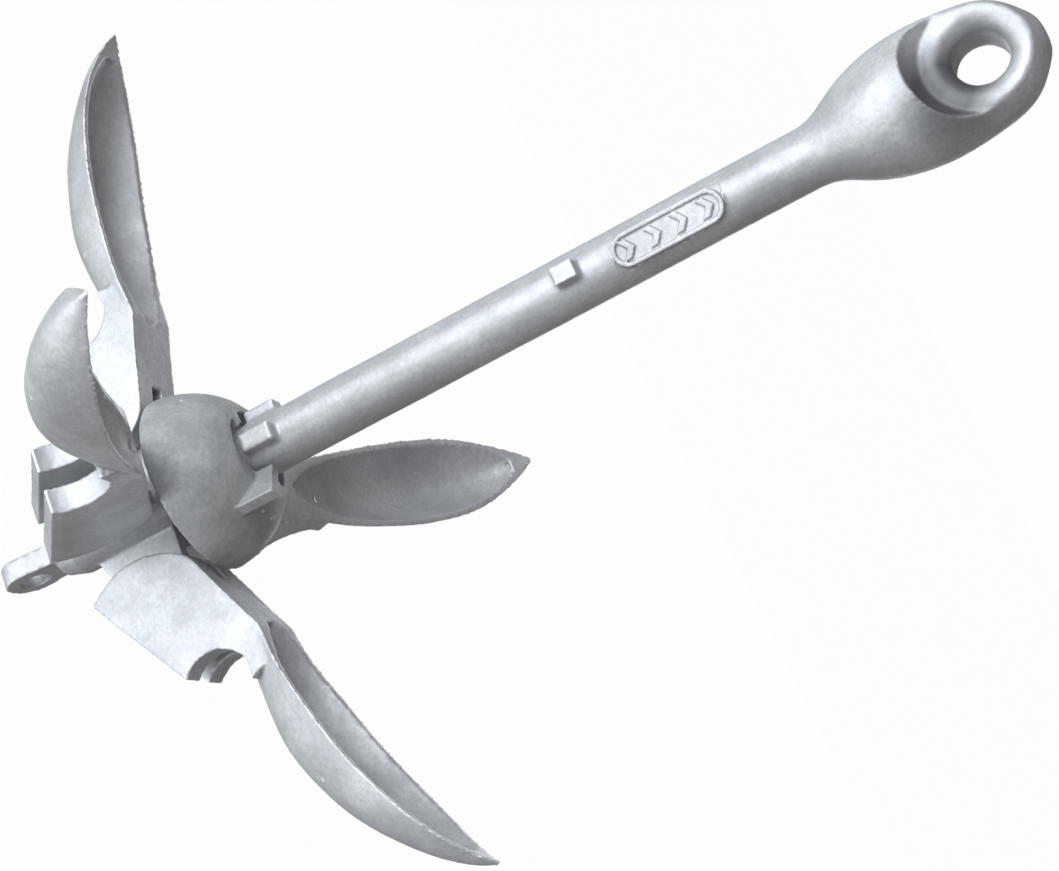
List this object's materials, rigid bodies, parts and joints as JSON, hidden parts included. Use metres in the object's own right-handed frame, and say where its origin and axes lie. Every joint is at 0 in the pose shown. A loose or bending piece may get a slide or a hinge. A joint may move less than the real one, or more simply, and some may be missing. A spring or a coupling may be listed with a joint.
{
  "type": "folding grapnel anchor",
  "caption": "Folding grapnel anchor: round shank with a line eye, a domed lock collar and hinged scoop-shaped flukes spread open.",
  "frame": {"origin": "on the shank's axis, at the lowest point of the small trip-line ring under the crown", "axes": "+Z along the shank from the crown to the line eye; the flukes stand at -Y (front), +X (right), +Y (back) and -X (left); the line eye's hole runs along Y"},
  "size_m": [0.2656, 0.2411, 0.3162],
  "materials": {
    "zinc_cast": "hot-dip galvanised casting, satin with a faint orange-peel",
    "zinc_collar": "hot-dip galvanised casting, a little smoother and darker",
    "zinc_pin": "galvanised steel pin, ends flush with the cheeks"
  },
  "bodies": {
    "shank": {"shank": "zinc_cast", "hinge_pin_front": "zinc_pin", "hinge_pin_right": "zinc_pin", "hinge_pin_back": "zinc_pin", "hinge_pin_left": "zinc_pin"},
    "collar": {"collar": "zinc_collar"},
    "fluke_front": {"fluke_front": "zinc_cast"},
    "fluke_right": {"fluke_right": "zinc_cast"},
    "fluke_back": {"fluke_back": "zinc_cast"},
    "fluke_left": {"fluke_left": "zinc_cast"}
  },
  "joints": [
    {"name": "fluke_front_fold", "type": "hinge", "parent": "shank", "child": "fluke_front", "pos_m": [0, -0.026, 0.047], "axis": [-1, 0, 0], "range_deg": [0, 59.4]},
    {"name": "fluke_right_fold", "type": "hinge", "parent": "shank", "child": "fluke_right", "pos_m": [0.026, 0, 0.047], "axis": [0, -1, 0], "range_deg": [0, 63]},
    {"name": "fluke_back_fold", "type": "hinge", "parent": "shank", "child": "fluke_back", "pos_m": [0, 0.026, 0.047], "axis": [1, 0, 0], "range_deg": [0, 54.5]},
    {"name": "fluke_left_fold", "type": "hinge", "parent": "shank", "child": "fluke_left", "pos_m": [-0.026, 0, 0.047], "axis": [0, 1, 0], "range_deg": [0, 74.5]},
    {"name": "collar_slide", "type": "slide", "parent": "shank", "child": "collar", "axis": [0, 0, 1], "range_m": [0, 0.112]}
  ],
  "couplings": [
    {"joint": "fluke_front_fold", "follows": "fluke_right_fold", "ratio": 0.94283},
    {"joint": "fluke_back_fold", "follows": "fluke_right_fold", "ratio": 0.86505},
    {"joint": "fluke_left_fold", "follows": "fluke_right_fold", "ratio": 1.1825},
    {"joint": "collar_slide", "follows": "fluke_right_fold", "m_per_rad": 0.10185}
  ]
}
